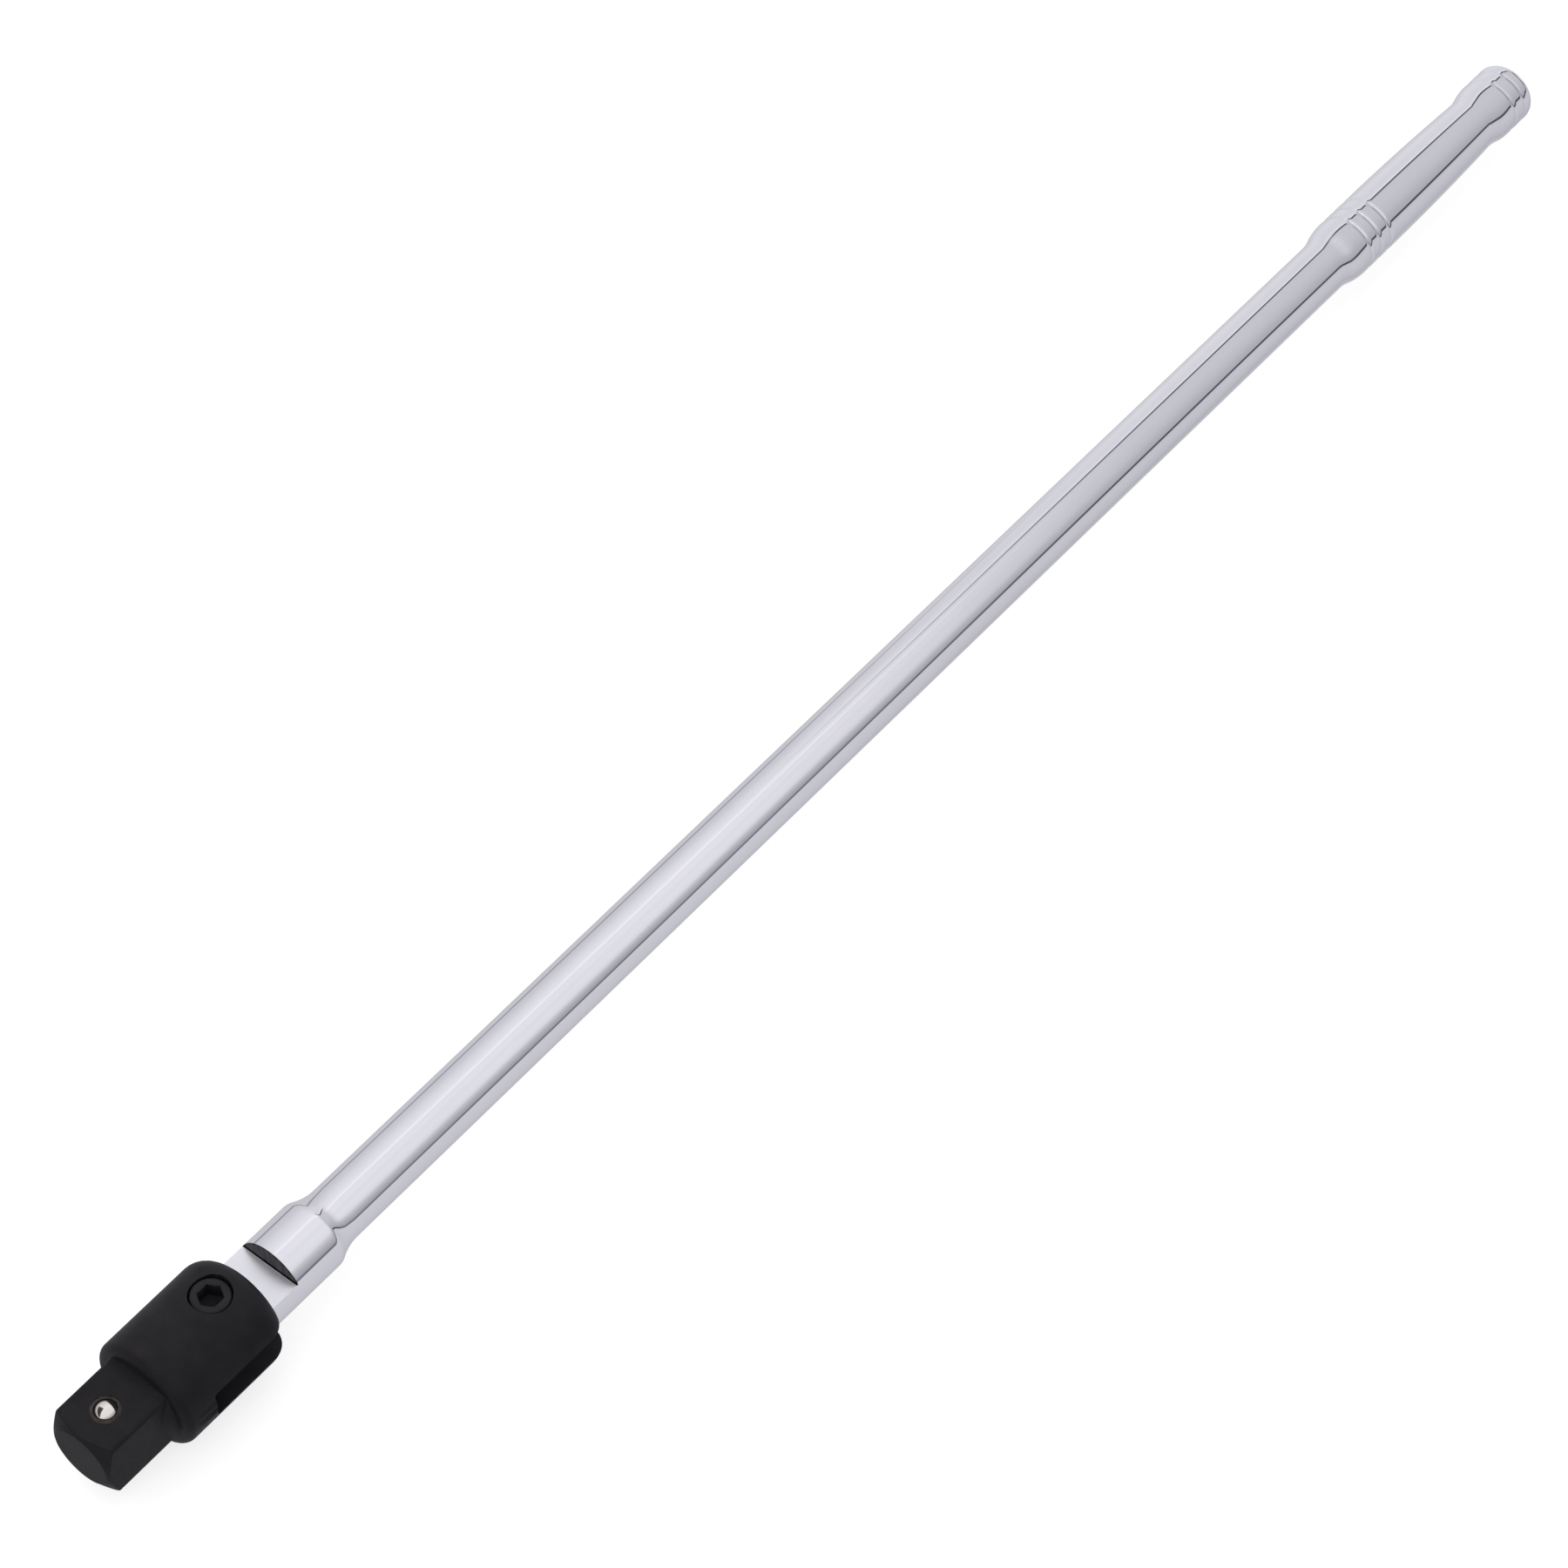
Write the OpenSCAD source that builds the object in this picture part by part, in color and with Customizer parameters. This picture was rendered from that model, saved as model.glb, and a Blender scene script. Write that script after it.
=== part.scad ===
// Breaker bar with a swivelling drive head, 3/4 inch square drive.
// The bar lies along +X, from the drive's tip to the end of the grip.
// +Z is the pivot screw's axis, with its socket facing up.
// The origin is the centre of the drive's end face, and all sizes are in millimetres.

/* [Drive square] */
// Size across the flats of the drive square
square_af = 18.95; // [18.6:0.05:19.3]
// Length of the square, from its end face to the head's shoulder
square_len = 21.3; // [20:0.1:28]
// Rounding of the square's long edges
square_edge_r = 1.3; // [0.6:0.1:1.6]
// Diameter of the flat circle left on the end face by the lead-in bevel
tip_circle_d = 17.1; // [16:0.1:19]
// Angle of the lead-in bevel, measured from the drive's axis
tip_bevel_angle = 60; // [45:1:70]

/* [Drive head] */
// Diameter of the fork's round body
head_d = 31.6; // [30:0.1:35]
// Distance from the drive's end face to the pivot axis
pivot_x = 47; // [45:0.5:54]
// Distance from the pivot axis to the fork's rear end
head_tail = 10.8; // [9.5:0.1:12]
// Rounding of the fork's rear rim
tail_rim_r = 6.3; // [3:0.1:7]
// Rounding of the shoulder's front rim
front_rim_r = 2.5; // [0.5:0.1:2.8]
// Width of the slot between the fork's two ears
slot_w = 8.7; // [8.6:0.1:10]
// Distance from the pivot axis to the bottom of the slot
slot_reach = 16; // [15.7:0.1:17]

/* [Handle] */
// Distance from the drive's end face to the end of the grip
overall_len = 610; // [560:5:760]
// Diameter of the collar behind the head
collar_d = 20.1; // [19:0.1:22]
// Distance from the pivot axis to the step where the tongue's flats end
step_reach = 19.9; // [19.5:0.1:24]
// Length of the collar, from the step to the start of the neck
collar_len = 14.4; // [10:0.1:20]
// Length of the neck that blends the collar into the shaft
neck_len = 8.9; // [8:0.1:14]
// Diameter of the shaft
shaft_d = 15.8; // [14:0.1:18]
// Thickness of the flat tongue
tongue_t = 8.4; // [8:0.1:8.5]
// Radius of the tongue's nose about the pivot axis
nose_reach = 15; // [14.5:0.1:15.3]

/* [Grip] */
// Largest diameter of the grip
grip_d = 19; // [18:0.1:22]
// Diameter at the narrowest place of the grip's waist
waist_d = 16.7; // [16:0.1:18]
// Length of the grip, with its front blend
grip_len = 97; // [90:1:120]
// Depth of each grip groove
groove_depth = 0.4; // [0.2:0.05:0.6]
// Rounding of the grip's end
grip_end_r = 3; // [1.5:0.5:3]

/* [Pivot screw] */
// Diameter of the screw's head
screw_head_d = 10.5; // [10:0.1:11.5]
// Diameter of the screw's smooth shoulder
shoulder_d = 8; // [7:0.1:9]
// Size across the flats of the screw's hexagon socket
hex_af = 6; // [5:0.5:6]
// Depth of the hexagon socket
hex_depth = 4.5; // [3:0.1:5]

/* [Balls and springs] */
// Diameter of the ball that holds the socket on the square
retaining_ball_d = 6.4; // [5.5:0.1:6.5]
// Distance from the drive's end face to the retaining ball
retaining_x = 9.9; // [9:0.1:12]
// Diameter of the ball that steadies the head on the tongue
detent_ball_d = 5; // [4.5:0.1:5.4]
// Wire diameter of both springs
wire_d = 0.7; // [0.5:0.1:0.9]

/* [Hidden] */
$fn = 96;
arc_steps = 8;                            // straight pieces in each turned arc
over = 1;                                 // how far a cutter runs past what it cuts
wire_sides = 8;                           // faces round a spring's wire
wire_steps = 20;                          // rings of faces in one turn of a spring
running_gap = 0.05;                       // radial clearance of a running fit
touch_gap = 0.02;                         // left between a ball and its spring

head_r = head_d / 2;
head_rear_x = pivot_x + head_tail;
slot_bottom_x = pivot_x - slot_reach;
step_x = pivot_x + step_reach;
collar_end_x = step_x + collar_len;
neck_edge_r = 4;                          // convex arc at the collar's rear edge

grip_x = overall_len - grip_len;
swell_len = 10.6;                         // length of the blend from the shaft to the grip
swell_root_r = 14.5;                      // concave arc where the shaft meets the grip
waist_x = overall_len - 20.8;             // narrowest place of the waist
waist_arc_x = grip_x + 25;                // where the long slope to the waist begins
waist_rise_len = 8.7;                     // from the waist to the rear bead
groove_lip_r = 2;                         // rounding of each groove's two lips
groove_root_r = 0.3;                      // rounding of its bottom
front_groove_offsets = [12.6, 17.4, 22.3]; // from the start of the grip
rear_groove_offsets = [9.8, 4.9];         // from the end of the grip

// Pivot stack, from the top down: screw head, washer, upper ear, tongue, lower ear
screw_top_z = 14.7;
screw_head_h = 6;
washer_t = 1.2;
washer_top_z = screw_top_z - screw_head_h;
counterbore_z = washer_top_z - washer_t;
counterbore_d = screw_head_d + 0.8;
thread_d = shoulder_d - 0.3;
thread_top_z = -slot_w / 2;
screw_end_z = -14.2;
screw_edge = 0.5;                         // bevel round the screw's head and tip

ball_proud = 1.5;                         // how far the retaining ball stands out
ball_hole_gap = 0.08;
retaining_z = square_af / 2 + ball_proud - retaining_ball_d / 2;
retaining_mouth_d = retaining_ball_d - 0.52; // the staked lip that holds the ball in
retaining_lip_t = 0.34;
retaining_floor_z = -3.2;
stake_ring_d = retaining_ball_d + 1.6;
stake_ring_w = 0.7;
stake_ring_depth = 0.2;

detent_gap = 0.15;                        // from the ball to the bottom of the slot
detent_x = slot_bottom_x + detent_gap + detent_ball_d / 2;
detent_floor_x = pivot_x - shoulder_d / 2 - 1.6;

// Points along an arc, from angle a0 to a1, about [cx, cy]
function arc(cx, cy, r, a0, a1, steps = arc_steps) =
    [for (i = [0 : steps]) let (a = a0 + (a1 - a0) * i / steps) [cx + r * cos(a), cy + r * sin(a)]];

// A smooth S from radius y0 at x0 to radius y1 at x1, as two arcs that meet in a common tangent.
// first_r is the radius of the arc at x0.
function ease(x0, y0, x1, y1, first_r) =
    let (len = x1 - x0, rise = abs(y1 - y0), way = sign(y1 - y0),
         slope = 2 * atan(rise / len), last_r = len / sin(slope) - first_r)
    concat([for (i = [0 : arc_steps]) let (a = slope * i / arc_steps)
                [x0 + first_r * sin(a), y0 + way * first_r * (1 - cos(a))]],
           [for (i = [1 : arc_steps]) let (a = slope * (1 - i / arc_steps))
                [x1 - last_r * sin(a), y1 - way * last_r * (1 - cos(a))]]);

// A shallow arc that leaves radius y0 at x0 level with the axis and reaches y1 at x1
function sag(x0, y0, x1, y1) =
    let (len = x1 - x0, drop = y0 - y1, r = (len * len + drop * drop) / (2 * drop), span = asin(len / r))
    [for (i = [0 : arc_steps]) let (a = span * i / arc_steps) [x0 + r * sin(a), y0 - r * (1 - cos(a))]];

// Outer diameter of the spring behind a ball, and the distance from the ball's centre
// to the outside of the coil that just touches the ball
function spring_od(ball_d) = ball_d - 0.9;
function spring_reach(ball_d) =
    let (mean_r = (spring_od(ball_d) - wire_d) / 2, touch = (ball_d + wire_d) / 2 + touch_gap)
    sqrt(touch * touch - mean_r * mean_r) - wire_d / 2;

// Turns an outline of [x, radius] points about the X axis
module turned(outline) {
    rotate([0, 90, 0]) rotate_extrude() polygon([for (p = outline) [p[1], p[0]]]);
}

// An outline closed along the axis
function closed(points) = concat([[points[0][0], 0]], points, [[points[len(points) - 1][0], 0]]);

// A cylinder along X, from x0 to x1
module rod_x(x0, x1, d) {
    translate([x0, 0, 0]) rotate([0, 90, 0]) cylinder(h = x1 - x0, d = d);
}

// A cylinder along Z at x, from z0 to z1
module rod_z(x, z0, z1, d) {
    translate([x, 0, z0]) cylinder(h = z1 - z0, d = d);
}

// A round-wire compression spring along Z, from z0 to z1, swept as a helix
module spring_z(z0, z1, outer_d, turns) {
    mean_r = (outer_d - wire_d) / 2;
    rise = (z1 - z0 - wire_d) / turns;
    lean = atan(rise / (2 * PI * mean_r));
    rings = turns * wire_steps;
    points = [for (i = [0 : rings]) let (turn = 360 * i / wire_steps, mid_z = z0 + wire_d / 2 + rise * i / wire_steps)
        for (j = [0 : wire_sides - 1]) let (a = 360 * j / wire_sides, out = wire_d / 2 * cos(a), up = wire_d / 2 * sin(a),
            r = mean_r + out, back = up * sin(lean))
            [r * cos(turn) + back * sin(turn), r * sin(turn) - back * cos(turn), mid_z + up * cos(lean)]];
    sides = [for (i = [0 : rings - 1], j = [0 : wire_sides - 1])
        let (k = (j + 1) % wire_sides, a = i * wire_sides, b = a + wire_sides)
            [a + j, a + k, b + k, b + j]];
    start = [for (j = [wire_sides - 1 : -1 : 0]) j];
    end = [for (j = [0 : wire_sides - 1]) rings * wire_sides + j];
    polyhedron(points, concat(sides, [start, end]));
}

// The grip's outline through a groove at x: a round lip, the bottom, and the other lip
function groove(x) =
    let (r = grip_d / 2, both = groove_lip_r + groove_root_r, slope = acos(1 - groove_depth / both),
         half = both * sin(slope))
    concat(arc(x - half, r - groove_lip_r, groove_lip_r, 90, 90 - slope),
           arc(x, r - groove_depth + groove_root_r, groove_root_r, 270 - slope, 270 + slope, 4),
           arc(x + half, r - groove_lip_r, groove_lip_r, 90 + slope, 90));

module handle_outline() {
    turned(closed(concat(
        [[pivot_x - nose_reach, collar_d / 2]],
        ease(collar_end_x, collar_d / 2, collar_end_x + neck_len, shaft_d / 2, neck_edge_r),
        ease(grip_x, shaft_d / 2, grip_x + swell_len, grip_d / 2, swell_root_r),
        [for (offset = front_groove_offsets, p = groove(grip_x + offset)) p],
        sag(waist_arc_x, grip_d / 2, waist_x, waist_d / 2),
        ease(waist_x, waist_d / 2, waist_x + waist_rise_len, grip_d / 2, 2 * waist_rise_len),
        [for (offset = rear_groove_offsets, p = groove(overall_len - offset)) p],
        arc(overall_len - grip_end_r, grip_d / 2 - grip_end_r, grip_end_r, 90, 0)
    )));
}

// What is milled away above the tongue
module tongue_cut() {
    depth = collar_d;
    cut_x = pivot_x - slot_reach - over;
    translate([cut_x, -depth, tongue_t / 2]) cube([step_x - cut_x, 2 * depth, depth]);
}

module handle_bar() {
    color("gainsboro") difference() {
        handle_outline();
        tongue_cut();
        mirror([0, 0, 1]) tongue_cut();
        // the nose is rounded about the pivot
        difference() {
            translate([pivot_x - nose_reach - over, -collar_d, -collar_d])
                cube([nose_reach + over, 2 * collar_d, 2 * collar_d]);
            rod_z(pivot_x, -2 * collar_d, 2 * collar_d, 2 * nose_reach);
        }
        rod_z(pivot_x, -collar_d, collar_d, shoulder_d + 2 * running_gap);
        rod_x(pivot_x - nose_reach - over, detent_floor_x, detent_ball_d + 2 * ball_hole_gap);
    }
}

// Outline of the square with rounded corners, in the plane across X
module square_outline() {
    c = square_af / 2 - square_edge_r;
    polygon(concat(arc(c, c, square_edge_r, 0, 90), arc(-c, c, square_edge_r, 90, 180),
                   arc(-c, -c, square_edge_r, 180, 270), arc(c, -c, square_edge_r, 270, 360)));
}

// The square drive, bevelled at its tip and running into the head
module drive_square() {
    corner_r = square_af;
    bevel_len = (corner_r - tip_circle_d / 2) / tan(tip_bevel_angle);
    root_x = square_len + front_rim_r;
    intersection() {
        rotate([0, 90, 0]) linear_extrude(root_x) square_outline();
        turned(closed([[0, tip_circle_d / 2], [bevel_len, corner_r], [root_x, corner_r]]));
    }
}

// The fork's round body before the slot is cut
module head_blank() {
    turned(closed(concat(
        arc(square_len + front_rim_r, head_r - front_rim_r, front_rim_r, 180, 90),
        arc(head_rear_x - tail_rim_r, head_r - tail_rim_r, tail_rim_r, 90, 0)
    )));
}

// The staked ring pressed round the retaining ball's mouth
module stake_ring() {
    rotate_extrude() translate([stake_ring_d / 2 - stake_ring_w, 0]) square([stake_ring_w, over]);
}

module drive_head() {
    color([0.15, 0.14, 0.16]) difference() {
        union() {
            drive_square();
            head_blank();
        }
        // slot between the ears
        translate([slot_bottom_x, -head_d, -slot_w / 2]) cube([head_d + over, 2 * head_d, slot_w]);
        // pivot hole through both ears, threaded in the lower one, and the screw's counterbore
        rod_z(pivot_x, 0, head_d, shoulder_d + 2 * running_gap);
        rod_z(pivot_x, -head_d, 0, thread_d);
        rod_z(pivot_x, counterbore_z, head_d, counterbore_d);
        // pocket of the retaining ball and its spring
        rod_z(retaining_x, retaining_floor_z, square_af / 2 - retaining_lip_t,
              retaining_ball_d + 2 * ball_hole_gap);
        rod_z(retaining_x, 0, square_af, retaining_mouth_d);
        translate([retaining_x, 0, square_af / 2 - stake_ring_depth]) stake_ring();
    }
}

module pivot_screw() {
    head_bevelled = screw_head_d / 2 - screw_edge;
    color([0.17, 0.16, 0.18]) translate([pivot_x, 0, 0]) difference() {
        rotate_extrude() polygon([
            [0, screw_end_z], [thread_d / 2 - screw_edge, screw_end_z], [thread_d / 2, screw_end_z + screw_edge],
            [thread_d / 2, thread_top_z], [shoulder_d / 2, thread_top_z],
            [shoulder_d / 2, washer_top_z], [screw_head_d / 2, washer_top_z],
            [screw_head_d / 2, screw_top_z - screw_edge], [head_bevelled, screw_top_z], [0, screw_top_z]
        ]);
        translate([0, 0, screw_top_z - hex_depth])
            cylinder(h = hex_depth + over, r = hex_af / 2 / cos(30), $fn = 6);
    }
}

module lock_washer() {
    color("dimgray") translate([pivot_x, 0, counterbore_z]) difference() {
        cylinder(h = washer_t, d = screw_head_d);
        translate([0, 0, -over]) cylinder(h = washer_t + 2 * over, d = shoulder_d + 0.4);
    }
}

module retaining_ball() {
    color("silver") translate([retaining_x, 0, retaining_z]) sphere(d = retaining_ball_d);
}

module retaining_spring() {
    color("lightsteelblue") translate([retaining_x, 0, 0])
        spring_z(retaining_floor_z, retaining_z - spring_reach(retaining_ball_d), spring_od(retaining_ball_d), 4);
}

module detent_ball() {
    color("silver") translate([detent_x, 0, 0]) sphere(d = detent_ball_d);
}

module detent_spring() {
    color("lightsteelblue") rotate([0, 90, 0])
        spring_z(detent_x + spring_reach(detent_ball_d), detent_floor_x, spring_od(detent_ball_d), 3);
}

handle_bar();
drive_head();
pivot_screw();
lock_washer();
retaining_ball();
retaining_spring();
detent_ball();
detent_spring();
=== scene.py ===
"""Breaker bar with a swivelling black head and a chromed bar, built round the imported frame.

Meshes are worked out in millimetres in the frame's own axes, and scaled to metres when they are made.
"""
import math

import bmesh
import bpy
from mathutils import Matrix, Vector


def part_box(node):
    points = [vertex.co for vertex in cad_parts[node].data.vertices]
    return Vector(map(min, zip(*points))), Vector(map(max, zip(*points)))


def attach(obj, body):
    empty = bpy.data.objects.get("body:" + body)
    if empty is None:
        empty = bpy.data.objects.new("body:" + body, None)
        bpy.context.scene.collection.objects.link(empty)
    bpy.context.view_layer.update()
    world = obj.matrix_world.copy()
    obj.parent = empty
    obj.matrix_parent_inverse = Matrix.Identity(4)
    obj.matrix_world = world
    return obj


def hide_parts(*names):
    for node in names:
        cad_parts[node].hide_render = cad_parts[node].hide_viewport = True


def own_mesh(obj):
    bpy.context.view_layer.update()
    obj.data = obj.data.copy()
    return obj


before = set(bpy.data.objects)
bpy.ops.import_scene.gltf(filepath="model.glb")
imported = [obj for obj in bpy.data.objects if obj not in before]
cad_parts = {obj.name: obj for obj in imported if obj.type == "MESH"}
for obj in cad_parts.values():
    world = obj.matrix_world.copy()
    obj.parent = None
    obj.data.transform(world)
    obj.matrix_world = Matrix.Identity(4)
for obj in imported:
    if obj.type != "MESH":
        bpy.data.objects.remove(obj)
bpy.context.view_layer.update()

MM = 0.001


def span(node):
    """Lowest and highest corners of a CAD node, in millimetres."""
    low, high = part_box(node)
    return [v / MM for v in low], [v / MM for v in high]


def middle(low, high, axis):
    return (low[axis] + high[axis]) / 2


# ---------------------------------------------------------------- sizes read from the frame
head_low, head_high = span("drive_head")
bar_low, bar_high = span("handle_bar")
screw_low, screw_high = span("pivot_screw")
washer_low, washer_high = span("lock_washer")
ball_low, ball_high = span("retaining_ball")
ball_spring_low, ball_spring_high = span("retaining_spring")
detent_low, detent_high = span("detent_ball")
detent_spring_low, detent_spring_high = span("detent_spring")

HEAD_R = head_high[1]
HEAD_REAR_X = head_high[0]
BAR_END_X = bar_high[0]
NOSE_X = bar_low[0]
COLLAR_R = bar_high[1]
PIVOT_X = middle(screw_low, screw_high, 0)
SCREW_HEAD_R = screw_high[1]
BALL_X = middle(ball_low, ball_high, 0)
BALL_Z = middle(ball_low, ball_high, 2)
BALL_R = ball_high[1]
DETENT_X = middle(detent_low, detent_high, 0)
DETENT_R = detent_high[1]

# ---------------------------------------------------------------- sizes of the shapes, in millimetres
SQUARE_HALF = 18.95 / 2
SQUARE_LEN = 21.3
SQUARE_EDGE_R = 1.3
TIP_CIRCLE_R = 8.55
TIP_BEVEL_ANGLE = math.radians(60)
SHOULDER_FILLET = 0.75                      # share of the shoulder's face that its fillet takes up
FRONT_RIM_R = 2.5
TAIL_RIM_R = 6.3
SLOT_HALF = 8.7 / 2
SLOT_BOTTOM_X = PIVOT_X - 16
SLOT_ROOT_R = 0.9
EDGE_SOFTENING = 0.3
BAR_SOFTENING = 0.8

TONGUE_HALF = 8.4 / 2
STEP_X = PIVOT_X + 19.9
STEP_ROOT_R = 0.35
COLLAR_END_X = STEP_X + 14.4
NECK_LEN = 8.9
NECK_EDGE_R = 4
SHAFT_R = 15.8 / 2
GRIP_X = BAR_END_X - 97
GRIP_R = 19 / 2
SWELL_LEN = 10.6
SWELL_ROOT_R = 14.5
WAIST_R = 16.7 / 2
WAIST_X = BAR_END_X - 20.8
WAIST_ARC_X = GRIP_X + 25
WAIST_RISE_LEN = 8.7
GRIP_END_R = 3
GROOVE_DEPTH = 0.4
GROOVE_LIP_R = 2
GROOVE_ROOT_R = 0.3
FRONT_GROOVES = [GRIP_X + offset for offset in (12.6, 17.4, 22.3)]
REAR_GROOVES = [BAR_END_X - offset for offset in (9.8, 4.9)]

SHOULDER_R = 4.0
SHOULDER_HOLE_R = 4.05
THREAD_R = 3.85
THREAD_DEPTH = 0.65
THREAD_PITCH = 1.25
COUNTERBORE_R = SCREW_HEAD_R + 0.4
HEX_HALF = 3.0
HEX_DEPTH = 4.5
BALL_MOUTH_R = BALL_R - 0.26
BALL_LIP = 0.34
STAKE_RING_R = BALL_R + 0.45

OVER = 2.0                                  # how far a cutter runs past what it cuts
AROUND = 144                                # steps round the turned surfaces
WIRE_R = 0.35                               # both springs' wire


# ---------------------------------------------------------------- outlines
def arc(cx, cy, radius, start, end, steps=8):
    """Points of an arc about (cx, cy), with its angles in degrees."""
    angles = [math.radians(start + (end - start) * i / steps) for i in range(steps + 1)]
    return [(cx + radius * math.cos(a), cy + radius * math.sin(a)) for a in angles]


def rounded(corners, radii, steps=6):
    """The line through corners, with each inner corner rounded to its radius."""
    line = [tuple(corners[0])]
    for before, corner, after, radius in zip(corners, corners[1:], corners[2:], radii):
        here = Vector(corner)
        back = (Vector(before) - here).normalized()
        ahead = (Vector(after) - here).normalized()
        half = back.angle(ahead) / 2
        centre = here + (back + ahead).normalized() * radius / math.sin(half)
        start = here + back * radius / math.tan(half) - centre
        end = here + ahead * radius / math.tan(half) - centre
        sweep = start.angle(end)
        for i in range(steps + 1):
            past = sweep * i / steps
            line.append(tuple(centre + (start * math.sin(sweep - past) + end * math.sin(past))
                              / math.sin(sweep)))
    return line + [tuple(corners[-1])]


def ease(x0, r0, x1, r1, first_r, steps=10):
    """A smooth S between two radii, as two arcs that meet in a common tangent."""
    length, rise, way = x1 - x0, abs(r1 - r0), math.copysign(1, r1 - r0)
    slope = 2 * math.atan(rise / length)
    last_r = length / math.sin(slope) - first_r
    angles = [slope * i / steps for i in range(steps + 1)]
    first = [(x0 + first_r * math.sin(a), r0 + way * first_r * (1 - math.cos(a))) for a in angles]
    last = [(x1 - last_r * math.sin(a), r1 - way * last_r * (1 - math.cos(a))) for a in angles]
    return first + last[-2::-1]


def waist_radius(x):
    """Radius of the grip on the long slope from its full size to its waist."""
    length, drop = WAIST_X - WAIST_ARC_X, GRIP_R - WAIST_R
    radius = (length * length + drop * drop) / (2 * drop)
    return GRIP_R - radius + math.sqrt(radius * radius - (x - WAIST_ARC_X) ** 2)


def groove(x):
    """A turned groove at x: a round lip, the bottom, and the other lip."""
    both = GROOVE_LIP_R + GROOVE_ROOT_R
    slope = math.acos(1 - GROOVE_DEPTH / both)
    half, lean = both * math.sin(slope), math.degrees(slope)
    return (arc(x - half, GRIP_R - GROOVE_LIP_R, GROOVE_LIP_R, 90, 90 - lean)
            + arc(x, GRIP_R - GROOVE_DEPTH + GROOVE_ROOT_R, GROOVE_ROOT_R, 270 - lean, 270 + lean, 4)[1:-1]
            + arc(x + half, GRIP_R - GROOVE_LIP_R, GROOVE_LIP_R, 90 + lean, 90))


def bar_outline():
    """Half outline of the bar, from the tongue's nose to the end of the grip."""
    line = [(NOSE_X, 0), (NOSE_X, COLLAR_R), (STEP_X, COLLAR_R), (COLLAR_END_X - 1, COLLAR_R)]
    line += ease(COLLAR_END_X, COLLAR_R, COLLAR_END_X + NECK_LEN, SHAFT_R, NECK_EDGE_R)
    line += ease(GRIP_X, SHAFT_R, GRIP_X + SWELL_LEN, GRIP_R, SWELL_ROOT_R)
    for x in FRONT_GROOVES:
        line += groove(x)
    steps = 20
    line += [(x, waist_radius(x)) for x in
             (WAIST_ARC_X + (WAIST_X - WAIST_ARC_X) * i / steps for i in range(steps))]
    line += ease(WAIST_X, WAIST_R, WAIST_X + WAIST_RISE_LEN, GRIP_R, 2 * WAIST_RISE_LEN)
    for x in REAR_GROOVES:
        line += groove(x)
    line += arc(BAR_END_X - GRIP_END_R, GRIP_R - GRIP_END_R, GRIP_END_R, 90, 0, steps=10)
    return line + [(BAR_END_X, 0)]


def square_radius(angle):
    """Distance from the axis to the surface of the square, along an angle round it."""
    fold = abs((angle + math.pi / 4) % (math.pi / 2) - math.pi / 4)
    corner = SQUARE_HALF - SQUARE_EDGE_R
    if math.tan(fold) <= corner / SQUARE_HALF:
        return SQUARE_HALF / math.cos(fold)
    along = corner * (math.cos(fold) + math.sin(fold))
    return along + math.sqrt(along * along - 2 * corner * corner + SQUARE_EDGE_R ** 2)


def head_outline(angle):
    """Half outline of the head and its square, along an angle round the axis."""
    square_r = square_radius(angle)
    bevel_x = (square_r - TIP_CIRCLE_R) / math.tan(TIP_BEVEL_ANGLE)
    room = HEAD_R - FRONT_RIM_R - square_r
    corners = [(0, 0), (0, TIP_CIRCLE_R), (bevel_x, square_r), (SQUARE_LEN, square_r),
               (SQUARE_LEN, HEAD_R), (HEAD_REAR_X, HEAD_R), (HEAD_REAR_X, 0)]
    soft_tip = 0.35
    soft_bevel = 0.25 + 0.2 * bevel_x
    return rounded(corners, [soft_tip, soft_bevel, SHOULDER_FILLET * room, FRONT_RIM_R, TAIL_RIM_R], steps=8)


def square_angles():
    """Angles round the square, close together at its four corners."""
    corner_half = math.pi / 4 - math.atan(1 - SQUARE_EDGE_R / SQUARE_HALF)
    flat_steps, corner_steps = 28, 10
    angles = []
    for quarter in range(4):
        centre = quarter * math.pi / 2
        start, end = centre - math.pi / 4 + corner_half, centre + math.pi / 4 - corner_half
        angles += [start + (end - start) * i / flat_steps for i in range(flat_steps)]
        angles += [end + 2 * corner_half * i / corner_steps for i in range(corner_steps)]
    return angles


# ---------------------------------------------------------------- meshes
def mesh_piece(name, points, faces):
    """A mesh object from points in millimetres."""
    mesh = bpy.data.meshes.new(name)
    mesh.from_pydata([[v * MM for v in p] for p in points], [], faces)
    mesh.update()
    piece = bpy.data.objects.new(name, mesh)
    bpy.context.scene.collection.objects.link(piece)
    return piece


def spun(name, outlines, angles):
    """Joins one half outline for each angle round the X axis. Both ends of an outline lie on the axis."""
    count, inner = len(angles), len(outlines[0]) - 2
    points = [(outlines[0][0][0], 0, 0), (outlines[0][-1][0], 0, 0)]
    for outline, angle in zip(outlines, angles):
        points += [(x, r * math.cos(angle), r * math.sin(angle)) for x, r in outline[1:-1]]

    def at(i, j):
        return 2 + (i % count) * inner + j

    faces = []
    for i in range(count):
        faces.append((0, at(i + 1, 0), at(i, 0)))
        faces.append((1, at(i, inner - 1), at(i + 1, inner - 1)))
        faces += [(at(i, j), at(i + 1, j), at(i + 1, j + 1), at(i, j + 1)) for j in range(inner - 1)]
    return mesh_piece(name, points, faces)


def turned(name, outline, steps=AROUND):
    """An outline of (x, radius) turned about the X axis."""
    angles = [2 * math.pi * i / steps for i in range(steps)]
    return spun(name, [outline] * steps, angles)


def stood(piece, x, z=0.0):
    """Stands a piece that was made along X on the Z axis at x."""
    piece.data.transform(Matrix.Translation((x * MM, 0, z * MM)) @ Matrix.Rotation(-math.pi / 2, 4, "Y"))
    return piece


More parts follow.
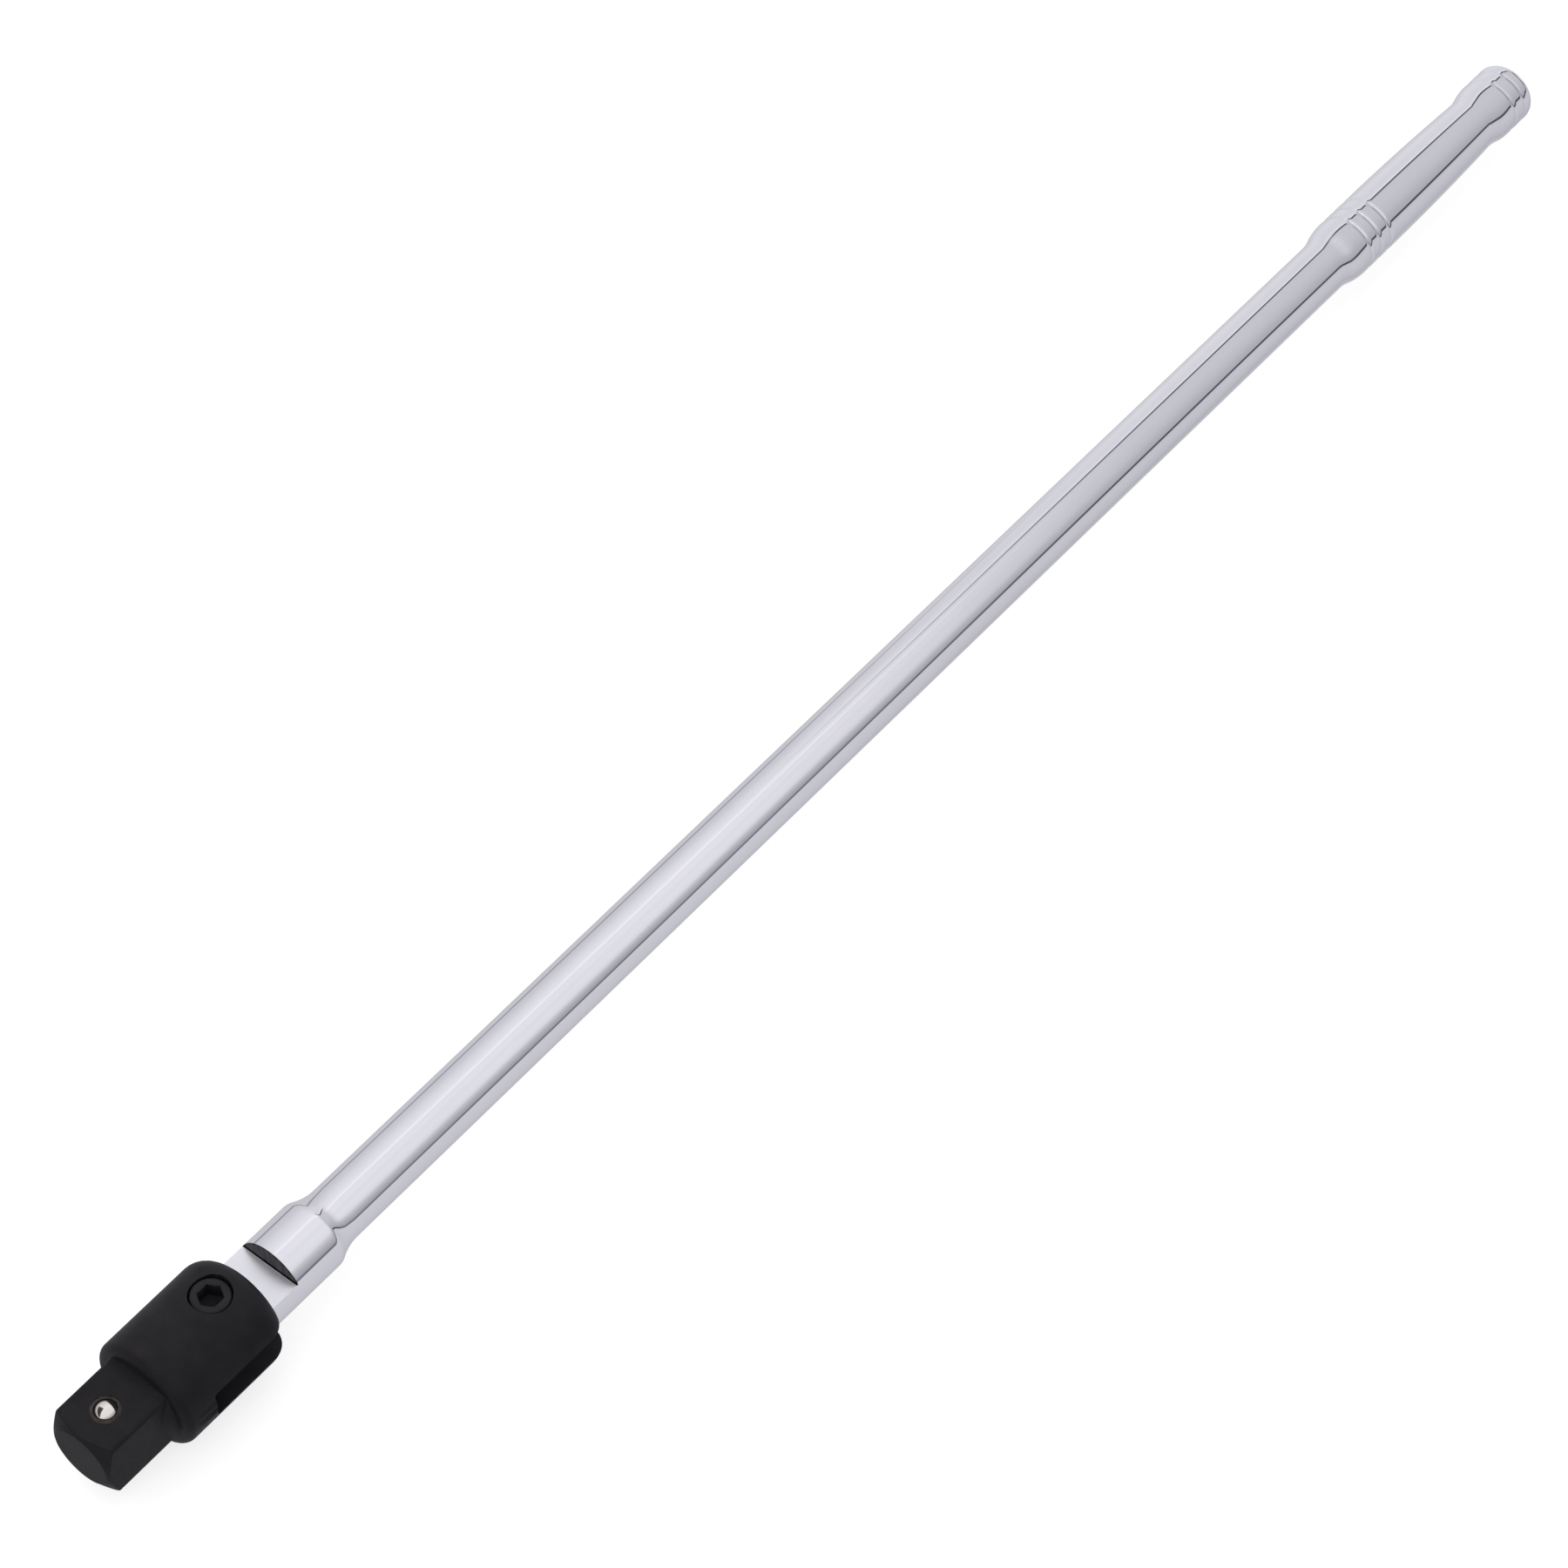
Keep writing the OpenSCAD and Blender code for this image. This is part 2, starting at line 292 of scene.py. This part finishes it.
def drum(name, x, z0, z1, radius, steps=96):
    """A cylinder along Z."""
    return stood(turned(name, [(z0, 0), (z0, radius), (z1, radius), (z1, 0)], steps), x)


def prism(name, outline, half_width):
    """An outline in the XZ plane, extruded both ways along Y."""
    count = len(outline)
    points = [(x, side * half_width, z) for side in (-1, 1) for x, z in outline]
    faces = [tuple(range(count)), tuple(range(2 * count - 1, count - 1, -1))]
    faces += [(i, i + count, (i + 1) % count + count, (i + 1) % count) for i in range(count)]
    return mesh_piece(name, points, faces)


def keep_evaluated(piece):
    """Replaces a piece's mesh with what its modifiers make of it."""
    graph = bpy.context.evaluated_depsgraph_get()
    mesh = bpy.data.meshes.new_from_object(piece.evaluated_get(graph))
    piece.modifiers.clear()
    piece.data = mesh


def combine(piece, other, operation):
    """Cuts or joins a piece with another mesh, which is then removed."""
    for part in (piece, other):
        shape = bmesh.new()
        shape.from_mesh(part.data)
        bmesh.ops.recalc_face_normals(shape, faces=shape.faces)
        shape.to_mesh(part.data)
        shape.free()
    step = piece.modifiers.new(operation.lower(), "BOOLEAN")
    step.operation = operation
    step.solver = "EXACT"
    step.object = other
    keep_evaluated(piece)
    bpy.data.objects.remove(other)


def cut(piece, *cutters):
    for cutter in cutters:
        combine(piece, cutter, "DIFFERENCE")


def soften(piece, width, angle=32, segments=3):
    """Rounds every edge sharper than angle, and smooths the shading with the large faces kept flat."""
    piece.data.shade_smooth()
    edges = piece.modifiers.new("soft_edges", "BEVEL")
    edges.width = width * MM
    edges.segments = segments
    edges.limit_method = "ANGLE"
    edges.angle_limit = math.radians(angle)
    edges.use_clamp_overlap = True
    flats = piece.modifiers.new("flat_faces", "WEIGHTED_NORMAL")
    flats.weight = 100
    keep_evaluated(piece)


# ---------------------------------------------------------------- the bar
def tongue_cutter(side):
    """What is milled away on one side of the tongue, with a small radius at the step's root."""
    level = side * TONGUE_HALF
    past = side * (COLLAR_R + OVER)
    corners = [(NOSE_X - OVER, past), (NOSE_X - OVER, level), (STEP_X, level), (STEP_X, past)]
    return prism("tongue_cutter", rounded(corners, [0.01, STEP_ROOT_R]), COLLAR_R + OVER)


def nose_cutter():
    """What is left outside the nose's arc about the pivot."""
    reach = PIVOT_X - NOSE_X
    blank = prism("nose_blank", [(NOSE_X - OVER, -COLLAR_R - OVER), (NOSE_X - OVER, COLLAR_R + OVER),
                                 (PIVOT_X, COLLAR_R + OVER), (PIVOT_X, -COLLAR_R - OVER)], COLLAR_R + OVER)
    combine(blank, drum("nose_arc", PIVOT_X, -COLLAR_R - 2 * OVER, COLLAR_R + 2 * OVER, reach), "DIFFERENCE")
    return blank


def make_bar():
    """The whole bar in one piece: tongue, collar, shaft and grip, with its bore and its pocket."""
    bar = turned("chromed_bar", bar_outline())
    pocket_end_x = detent_spring_high[0]
    pocket_r = DETENT_R + 0.08
    pocket = turned("detent_pocket", [(NOSE_X - OVER, 0), (NOSE_X - OVER, pocket_r),
                                      (pocket_end_x, pocket_r), (pocket_end_x + 1, 0)], 64)
    cut(bar, tongue_cutter(1), tongue_cutter(-1), nose_cutter(),
        drum("pivot_bore", PIVOT_X, -COLLAR_R, COLLAR_R, SHOULDER_HOLE_R), pocket)
    soften(bar, BAR_SOFTENING)
    return bar


# ---------------------------------------------------------------- the head
def slot_cutter():
    corners = [(HEAD_REAR_X + OVER, -SLOT_HALF), (SLOT_BOTTOM_X, -SLOT_HALF),
               (SLOT_BOTTOM_X, SLOT_HALF), (HEAD_REAR_X + OVER, SLOT_HALF)]
    return prism("slot_cutter", rounded(corners, [SLOT_ROOT_R, SLOT_ROOT_R]), HEAD_R + OVER)


def ball_pocket():
    """The ball's hole, narrowed at its mouth by the staked lip."""
    mouth_z = SQUARE_HALF - BALL_LIP
    floor_z = ball_spring_low[2]
    hole_r = BALL_R + 0.08
    outline = [(floor_z - 1, 0), (floor_z, hole_r), (mouth_z - 0.3, hole_r), (mouth_z, BALL_MOUTH_R),
               (SQUARE_HALF + OVER, BALL_MOUTH_R), (SQUARE_HALF + OVER, 0)]
    return stood(turned("ball_pocket", outline, 72), BALL_X)


def stake_groove():
    """A shallow round-bottomed ring pressed in round the ball's mouth."""
    radius, steps, sides = 0.42, 72, 10
    lift = 0.2
    points, faces = [], []
    for i in range(steps):
        turn = 2 * math.pi * i / steps
        for j in range(sides):
            side = 2 * math.pi * j / sides
            r = STAKE_RING_R + radius * math.cos(side)
            points.append((BALL_X + r * math.cos(turn), r * math.sin(turn),
                           SQUARE_HALF + lift + radius * math.sin(side)))
            after, beside = (i + 1) % steps * sides, (j + 1) % sides
            faces.append((i * sides + j, after + j, after + beside, i * sides + beside))
    return mesh_piece("stake_groove", points, faces)


def make_head():
    """The fork and its drive square in one piece, with all its holes."""
    angles = square_angles()
    head = spun("drive_fork", [head_outline(a) for a in angles], angles)
    mouth = HEAD_R + OVER
    bevel = 0.35
    recess_z = washer_low[2]
    edge_z = math.sqrt(HEAD_R ** 2 - COUNTERBORE_R ** 2)
    recess = stood(turned("counterbore", [(recess_z, 0), (recess_z, COUNTERBORE_R),
                                          (edge_z - bevel, COUNTERBORE_R),
                                          (mouth, COUNTERBORE_R), (mouth, 0)], 96), PIVOT_X)
    cut(head, slot_cutter(), drum("shoulder_hole", PIVOT_X, 0, mouth, SHOULDER_HOLE_R, 72),
        drum("thread_hole", PIVOT_X, -mouth, 0, THREAD_R, 72), recess, ball_pocket(), stake_groove())
    soften(head, EDGE_SOFTENING)
    return head


# ---------------------------------------------------------------- the small pieces
def threaded_radius(z, turn):
    """Radius of a V thread that climbs one pitch in each turn."""
    steepness, crest = 1.3, 0.15
    phase = (z / THREAD_PITCH - turn / (2 * math.pi)) % 1
    return THREAD_R - THREAD_DEPTH * min(1.0, max(0.0, 1 + crest - abs(2 * phase - 1) * steepness))


def make_screw():
    """The socket-head shoulder screw, with its thread in the lower ear."""
    low, top = screw_low[2], screw_high[2]
    thread_top, core = -SLOT_HALF, THREAD_R - THREAD_DEPTH
    steps, thread_steps = 96, 90
    chamfer, drill_point, mouth_depth, mouth_bevel = 0.5, 0.8, 0.25, 0.35
    upper = rounded([(thread_top, SHOULDER_R), (washer_high[2], SHOULDER_R), (washer_high[2], SCREW_HEAD_R),
                     (top, SCREW_HEAD_R), (top, 0)], [0.15, 0.3, 0.6], steps=5)
    outlines, angles = [], [2 * math.pi * i / steps for i in range(steps)]
    for turn in angles:
        line = [(low, 0), (low, core - chamfer / 2)]
        for k in range(thread_steps + 1):
            z = low + chamfer / 2 + (thread_top - low - chamfer) * k / thread_steps
            run_in = min(1.0, (z - low) / chamfer)
            line.append((z, core + (threaded_radius(z, turn) - core) * run_in))
        outlines.append(line + upper)
    screw = stood(spun("socket_screw", outlines, angles), PIVOT_X)
    across = HEX_HALF / math.cos(math.pi / 6)
    key_line = [(top - HEX_DEPTH - drill_point, 0), (top - HEX_DEPTH, across), (top + OVER, across),
                (top + OVER, 0)]
    key = spun("key_hole", [key_line] * 6, [math.radians(30 + 60 * k) for k in range(6)])
    mouth_r = across + mouth_bevel
    mouth = turned("key_mouth", [(top - mouth_depth, 0), (top - mouth_depth, HEX_HALF),
                                 (top + mouth_bevel, mouth_r), (top + OVER, mouth_r), (top + OVER, 0)], 72)
    cut(screw, stood(key, PIVOT_X), stood(mouth, PIVOT_X))
    soften(screw, 0.12, angle=38, segments=2)
    return screw


def make_ball(name, x, z, radius):
    steps = 32
    outline = arc(0, 0, radius, 180, 0, steps)
    outline[0], outline[-1] = (-radius, 0), (radius, 0)
    ball = stood(turned(name, outline, 2 * steps), x, z)
    ball.data.shade_smooth()
    return ball


def swept(name, path, section):
    """Sweeps a section, given as (out, up) offsets, along a path of (centre, out, up)."""
    count = len(section)
    points = [tuple(centre + out * a + up * b) for centre, out, up in path for a, b in section]
    faces = []
    for i in range(len(path) - 1):
        for j in range(count):
            k = (j + 1) % count
            faces.append((i * count + j, i * count + k, (i + 1) * count + k, (i + 1) * count + j))
    faces += [tuple(range(count - 1, -1, -1)), tuple(range(len(points) - count, len(points)))]
    return mesh_piece(name, points, faces)


def make_spring(name, low, high, mean_r, turns):
    """A compression spring along Z, with its first and last turns closed up."""
    per_turn, sides, evenness = 40, 12, 0.65
    body = high - low - 2 * WIRE_R
    path = []
    for i in range(turns * per_turn + 1):
        share = i / (turns * per_turn)
        eased = share - math.sin(2 * math.pi * share) / (2 * math.pi)
        even = min(1.0, max(0.0, (share * turns - 0.5) / (turns - 1)))
        climb = (1 - evenness) * eased + evenness * even
        turn = 2 * math.pi * i / per_turn
        out = Vector((math.cos(turn), math.sin(turn), 0))
        path.append((out * mean_r + Vector((0, 0, low + WIRE_R + body * climb)), out, Vector((0, 0, 1))))
    section = [(WIRE_R * math.cos(2 * math.pi * j / sides), WIRE_R * math.sin(2 * math.pi * j / sides))
               for j in range(sides)]
    spring = swept(name, path, section)
    spring.data.shade_smooth()
    spring.data.set_sharp_from_angle(angle=math.radians(40))
    return spring


def make_washer():
    """A split lock washer, pressed flat, with its gap cut on a slant."""
    low, high, outer = washer_low[2], washer_high[2], washer_high[1]
    inner = SHOULDER_R + 0.2
    steps, gap, slant = 72, math.radians(9), math.radians(7)
    points, faces = [], []
    for i in range(steps + 1):
        for r, z, lean in ((inner, low, -1), (outer, low, -1), (outer, high, 1), (inner, high, 1)):
            turn = gap / 2 + (2 * math.pi - gap) * i / steps + lean * slant / 2
            points.append((PIVOT_X + r * math.cos(turn), r * math.sin(turn), z))
    for i in range(steps):
        faces += [(4 * i + j, 4 * i + 4 + j, 4 * i + 4 + (j + 1) % 4, 4 * i + (j + 1) % 4) for j in range(4)]
    faces += [(0, 1, 2, 3), tuple(4 * steps + j for j in (3, 2, 1, 0))]
    washer = mesh_piece("split_washer", points, faces)
    soften(washer, 0.1)
    return washer


# ---------------------------------------------------------------- shader nodes
def shaded(name, base, metallic, roughness, specular=0.5):
    """A new material and its shader, with the values that are the same all over."""
    material = bpy.data.materials.new(name)
    material.use_nodes = True
    shader = material.node_tree.nodes["Principled BSDF"]
    shader.inputs["Base Color"].default_value = (*base, 1)
    shader.inputs["Metallic"].default_value = metallic
    shader.inputs["Roughness"].default_value = roughness
    shader.inputs["Specular IOR Level"].default_value = specular
    return material, shader


def place(tree):
    """The position of the point on the object's own axes, in metres."""
    return tree.nodes.new("ShaderNodeTexCoord").outputs["Object"]


def coordinates(tree):
    split = tree.nodes.new("ShaderNodeSeparateXYZ")
    tree.links.new(place(tree), split.inputs["Vector"])
    return split.outputs["X"], split.outputs["Y"], split.outputs["Z"]


def maths(tree, operation, first, second=None):
    """A math node. Each input is a socket or a number."""
    node = tree.nodes.new("ShaderNodeMath")
    node.operation = operation
    for socket, value in zip(node.inputs, (first, second)):
        if isinstance(value, (int, float)):
            socket.default_value = value
        elif value is not None:
            tree.links.new(value, socket)
    return node.outputs[0]


def product(tree, first, *others):
    for other in others:
        first = maths(tree, "MULTIPLY", first, other)
    return first


def spread(tree, value, low, high, to_low, to_high):
    """Maps a value's range onto another, and holds it at the ends."""
    node = tree.nodes.new("ShaderNodeMapRange")
    node.inputs["From Min"].default_value = low
    node.inputs["From Max"].default_value = high
    node.inputs["To Min"].default_value = to_low
    node.inputs["To Max"].default_value = to_high
    tree.links.new(value, node.inputs["Value"])
    return node.outputs["Result"]


def fade(tree, value, low, high):
    """Rises smoothly from 0 at low to 1 at high. low may be above high."""
    result = spread(tree, value, low, high, 0.0, 1.0)
    result.node.interpolation_type = "SMOOTHSTEP"
    return result


def noise(tree, scale, detail=3.0, stretch=(1, 1, 1)):
    """A noise texture in object space. scale is in cells a metre."""
    mapping = tree.nodes.new("ShaderNodeMapping")
    mapping.inputs["Scale"].default_value = stretch
    texture = tree.nodes.new("ShaderNodeTexNoise")
    texture.inputs["Scale"].default_value = scale
    texture.inputs["Detail"].default_value = detail
    tree.links.new(place(tree), mapping.inputs["Vector"])
    tree.links.new(mapping.outputs["Vector"], texture.inputs["Vector"])
    return texture.outputs["Fac"]


def mix_colours(tree, share, first, second):
    """Goes from the first colour to the second as share rises to 1. Each is a socket or three numbers."""
    node = tree.nodes.new("ShaderNodeMix")
    node.data_type = "RGBA"
    tree.links.new(share, node.inputs["Factor"])
    for socket, colour in ((node.inputs["A"], first), (node.inputs["B"], second)):
        if isinstance(colour, tuple):
            socket.default_value = (*colour, 1)
        else:
            tree.links.new(colour, socket)
    return node.outputs["Result"]


def bumped(tree, shader, height, depth):
    """Gives the surface a fine relief. depth is in metres."""
    node = tree.nodes.new("ShaderNodeBump")
    node.inputs["Distance"].default_value = depth
    node.inputs["Strength"].default_value = 1.0
    tree.links.new(height, node.inputs["Height"])
    tree.links.new(node.outputs["Normal"], shader.inputs["Normal"])


# ---------------------------------------------------------------- materials
def chrome():
    """Bright chrome, satin on the tongue's milled flats; the step behind them has painted shade, a dark
    streaked base colour that stands in for the dark reflection on its face.
    """
    material, shader = shaded("bright_chrome", (0.88, 0.885, 0.91), 1.0, 0.05)
    tree = material.node_tree
    along, _, up = coordinates(tree)
    height = maths(tree, "ABSOLUTE", up)
    satin = product(tree, fade(tree, height, (TONGUE_HALF - 0.1) * MM, (TONGUE_HALF - 0.02) * MM),
                    fade(tree, along, STEP_X * MM, (STEP_X - 0.2) * MM), 0.34)
    haze = spread(tree, noise(tree, 260, stretch=(0.25, 1, 1)), 0.3, 0.7, 0.035, 0.075)
    tree.links.new(maths(tree, "ADD", haze, satin), shader.inputs["Roughness"])

    # painted shade: the step face's base colour is darkened, with streaks, to stand in for the dark
    # reflection on it
    step = product(tree, fade(tree, height, (TONGUE_HALF + 0.003) * MM, (TONGUE_HALF + 0.03) * MM),
                   fade(tree, along, (STEP_X + 0.4) * MM, (STEP_X + 0.2) * MM))
    tint = mix_colours(tree, noise(tree, 40), (0.86, 0.865, 0.895), (0.9, 0.9, 0.92))
    streaks = spread(tree, noise(tree, 700, stretch=(1, 1, 0.15)), 0.45, 0.75, 0.0, 1.0)
    painted_step_shade = mix_colours(tree, streaks, (0.006, 0.006, 0.008), (0.09, 0.075, 0.07))
    tree.links.new(mix_colours(tree, step, tint, painted_step_shade), shader.inputs["Base Color"])
    return material


def black_oxide(name, dark, light, grain=2600):
    """Satin black conversion coat on forged steel, mottled at two scales."""
    material, shader = shaded(name, dark, 0.0, 0.5, specular=0.12)
    tree = material.node_tree
    patches = spread(tree, noise(tree, 190), 0.3, 0.75, 0.0, 1.0)
    tree.links.new(mix_colours(tree, patches, dark, light), shader.inputs["Base Color"])
    fine = noise(tree, grain, detail=2.0)
    tree.links.new(spread(tree, fine, 0.25, 0.75, 0.42, 0.58), shader.inputs["Roughness"])
    bumped(tree, shader, fine, 0.00001)
    return material


def rub_ring(material, x, inner, outer, colour):
    """Rubs the coat thin in a ring about the Z axis at x, on the side that faces up. Sizes in millimetres."""
    tree = material.node_tree
    along, across, up = coordinates(tree)
    from_ball = maths(tree, "SUBTRACT", along, x * MM)
    distance = maths(tree, "SQRT", maths(tree, "ADD", product(tree, from_ball, from_ball),
                                         product(tree, across, across)))
    share = product(tree, fade(tree, distance, inner * MM, (inner + 0.2) * MM),
                    fade(tree, distance, outer * MM, (outer - 0.4) * MM),
                    fade(tree, up, (SQUARE_HALF - 0.6) * MM, (SQUARE_HALF - 0.3) * MM),
                    spread(tree, noise(tree, 420), 0.3, 0.7, 0.35, 0.9))
    base = tree.nodes["Principled BSDF"].inputs["Base Color"]
    tree.links.new(mix_colours(tree, share, base.links[0].from_socket, colour), base)


def plain_steel(name, base, low, high):
    """Bare steel whose roughness wanders between low and high."""
    material, shader = shaded(name, base, 1.0, low)
    tree = material.node_tree
    tree.links.new(spread(tree, noise(tree, 900), 0.3, 0.7, low, high), shader.inputs["Roughness"])
    return material


def dress(piece, material, body, slot, *nodes):
    """Gives a piece its material and its body, and hides the CAD nodes it stands for. slot is not used."""
    piece.data.materials.clear()
    piece.data.materials.append(material)
    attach(piece, body)
    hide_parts(*nodes)


# ---------------------------------------------------------------- studio
def set_camera():
    """A long lens, looking down on the bar from beside its drive."""
    aim = Vector((0.2651, -0.001, 0.0017))
    azimuth, elevation, distance = math.radians(-50.8), math.radians(51.45), 1.289
    back = Vector((math.sin(azimuth) * math.cos(elevation), -math.cos(azimuth) * math.cos(elevation),
                   math.sin(elevation)))
    data = bpy.data.cameras.new("camera")
    data.lens = 111.54
    data.sensor_width = 36.0
    data.clip_end = 50
    camera = bpy.data.objects.new("camera", data)
    camera.location = aim + back * distance
    camera.rotation_euler = back.to_track_quat("Z", "Y").to_euler()
    bpy.context.scene.collection.objects.link(camera)
    bpy.context.scene.camera = camera


def make_floor():
    """A pale floor that the bar lies on, lit from within so that it stays even."""
    half, level = 6.0, head_low[2] * MM
    mesh = bpy.data.meshes.new("floor")
    mesh.from_pydata([(-half, -half, level), (half, -half, level), (half, half, level), (-half, half, level)],
                     [], [(0, 1, 2, 3)])
    floor = bpy.data.objects.new("floor", mesh)
    bpy.context.scene.collection.objects.link(floor)
    material, shader = shaded("pale_floor", (0.35, 0.35, 0.35), 0.0, 0.9, specular=0.0)
    shader.inputs["Emission Color"].default_value = (1, 1, 1, 1)
    shader.inputs["Emission Strength"].default_value = 0.75
    mesh.materials.append(material)
    floor.visible_glossy = False
    floor.visible_diffuse = False


def light_ramp(tree, share, stops):
    """Greys at angles round the bar, in degrees from straight up towards -Y, a little blue throughout."""
    ramp = tree.nodes.new("ShaderNodeValToRGB")
    tree.links.new(share, ramp.inputs["Fac"])
    elements = ramp.color_ramp.elements
    elements.remove(elements[1])
    for i, (degrees, grey) in enumerate(stops):
        position = 0.5 + degrees / 360
        stop = elements[0] if i == 0 else elements.new(position)
        stop.position = position
        stop.color = (grey, grey * 0.99, grey + 0.035, 1)
    return ramp.outputs["Color"]


# Greys round the bar beside the drive and beyond it, at degrees from straight up towards -Y. They were set
# and changed until the chrome's bands came out about as bright as they measure in the photo.
NEAR_LIGHT = [(-180, 0.52), (-152, 0.5), (-126, 0.6), (-92, 0.62), (-89, 0.3), (-85, 0.3), (-82, 0.61),
              (-63, 0.66), (-46, 0.745), (-30, 0.81), (-16, 0.86), (-10, 0.95), (-6, 0.95), (-3, 0.84),
              (10, 0.86), (21, 0.815), (32, 0.84), (43, 0.815), (49, 0.77), (55, 0.63), (61, 0.53),
              (67, 0.455), (74, 0.39), (77, 0.35), (79, 0.14), (82, 0.14), (84, 0.66), (103, 0.64),
              (130, 0.6), (157, 0.52), (180, 0.52)]
FAR_LIGHT = [(-180, 0.62), (-152, 0.56), (-108, 0.68), (-85, 0.78), (-67, 0.76), (-52, 0.73), (-38, 0.74),
             (-35, 0.86), (-31.5, 0.86), (-30, 0.1), (-25, 0.1), (-23.5, 0.625), (8, 0.62), (30, 0.585),
             (41, 0.56), (52, 0.52), (63, 0.48), (74, 0.46), (76, 0.07), (82, 0.07), (84, 0.6), (100, 0.62),
             (130, 0.56), (150, 0.49), (180, 0.55)]
JOINT_GREY = (0.08, 0.08, 0.1)
WALL_GREY = (0.7, 0.695, 0.73)
GAP_GREY = (0.05, 0.05, 0.06)


def tent_light(tree):
    """The tent's light, which changes with the angle round the bar and with the distance along it."""
    along, across, up = coordinates(tree)
    angle = maths(tree, "ARCTAN2", maths(tree, "MULTIPLY", across, -1.0), up)

    def arc_fade(low, high):
        return fade(tree, angle, math.radians(low), math.radians(high))

    # the panels on the -Y side hang a little lower towards the drive
    lower_side = product(tree, maths(tree, "MAXIMUM", angle, 0.0), spread(tree, along, 0.36, 0.68, 0.87, 1.0))
    folded = maths(tree, "ADD", lower_side, maths(tree, "MINIMUM", angle, 0.0))
    share = spread(tree, folded, -math.pi, math.pi, 0.0, 1.0)
    light = mix_colours(tree, fade(tree, along, 0.66, 0.38), light_ramp(tree, share, FAR_LIGHT),
                        light_ramp(tree, share, NEAR_LIGHT))
    # a dark joint at the panel's far end, and a pale wall beyond it
    joint = product(tree, fade(tree, along, 1.1, 1.2), arc_fade(-31, -27), arc_fade(82, 78))
    light = mix_colours(tree, joint, light, JOINT_GREY)
    light = mix_colours(tree, fade(tree, along, 1.6, 1.75), light, WALL_GREY)
    # a dark gap in front of the drive, on the far side
    gap = product(tree, fade(tree, along, 0.02, -0.03), arc_fade(-8, -20), arc_fade(-75, -60))
    return mix_colours(tree, gap, light, GAP_GREY)


def make_tent():
    """A round light tent over the bar, seen only in its polished and satin surfaces."""
    radius, low_x, high_x, steps = 0.3, -1.5, 4.0, 96
    points, faces = [], []
    for i in range(steps):
        turn = 2 * math.pi * i / steps
        points += [(x, radius * math.cos(turn), radius * math.sin(turn)) for x in (low_x, high_x)]
        after = 2 * ((i + 1) % steps)
        faces.append((2 * i, 2 * i + 1, after + 1, after))
    mesh = bpy.data.meshes.new("light_tent")
    mesh.from_pydata(points, [], faces)
    mesh.shade_smooth()
    tent = bpy.data.objects.new("light_tent", mesh)
    bpy.context.scene.collection.objects.link(tent)
    for sight in ("camera", "diffuse", "shadow", "transmission", "volume_scatter"):
        setattr(tent, "visible_" + sight, False)
    material, shader = shaded("tent_light", (0.0, 0.0, 0.0), 0.0, 1.0, specular=0.0)
    material.node_tree.links.new(tent_light(material.node_tree), shader.inputs["Emission Color"])
    shader.inputs["Emission Strength"].default_value = 1.0
    mesh.materials.append(material)


def set_world():
    """The room as dull surfaces see it: brightest overhead and behind, darkest underneath."""
    world = bpy.data.worlds.new("soft_room")
    bpy.context.scene.world = world
    world.use_nodes = True
    tree = world.node_tree
    slope = tree.nodes.new("ShaderNodeVectorMath")
    slope.operation = "DOT_PRODUCT"
    slope.inputs[1].default_value = (0.2, 0.5, 0.5)
    tree.links.new(tree.nodes.new("ShaderNodeTexCoord").outputs["Generated"], slope.inputs[0])
    background = tree.nodes["Background"]
    tree.links.new(maths(tree, "ADD", slope.outputs["Value"], 0.85), background.inputs["Color"])
    background.inputs["Strength"].default_value = 1.0


# ---------------------------------------------------------------- the scene
set_camera()
make_floor()
make_tent()
set_world()
bpy.context.scene.view_settings.view_transform = "Standard"

black = black_oxide("black_oxide_head", (0.0095, 0.0085, 0.0105), (0.0145, 0.013, 0.0155))
rub_ring(black, BALL_X, BALL_R - 0.2, STAKE_RING_R + 0.45, (0.07, 0.06, 0.052))
screw_black = black_oxide("black_oxide_screw", (0.012, 0.011, 0.013), (0.022, 0.02, 0.023), grain=3400)
ball_steel = plain_steel("polished_steel", (0.9, 0.84, 0.78), 0.06, 0.12)
spring_steel = plain_steel("drawn_steel", (0.42, 0.42, 0.44), 0.25, 0.4)

dress(make_bar(), chrome(), "handle", "chrome_bar", "handle_bar")
dress(make_head(), black, "head", "black_head", "drive_head")
dress(make_screw(), screw_black, "head", "black_screw", "pivot_screw")
dress(make_washer(), spring_steel, "head", "spring_steel", "lock_washer")
dress(make_ball("lock_ball", BALL_X, BALL_Z, BALL_R), ball_steel, "retaining_ball", "polished_ball",
      "retaining_ball")
dress(make_ball("nose_ball", DETENT_X, 0, DETENT_R), ball_steel, "detent_ball", "polished_ball",
      "detent_ball")

# each spring is made in place and given a mesh of its own
lock_spring = make_spring("lock_ball_spring", ball_spring_low[2], ball_spring_high[2],
                          ball_spring_high[1] - WIRE_R, 5)
lock_spring.data.transform(Matrix.Translation((BALL_X * MM, 0, 0)))
dress(lock_spring, spring_steel, "head", "spring_steel", "retaining_spring")
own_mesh(lock_spring)
nose_spring = make_spring("nose_ball_spring", detent_spring_low[0], detent_spring_high[0],
                          detent_spring_high[1] - WIRE_R, 4)
nose_spring.data.transform(Matrix.Rotation(math.pi / 2, 4, "Y"))
dress(nose_spring, spring_steel, "handle", "spring_steel", "detent_spring")
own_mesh(nose_spring)
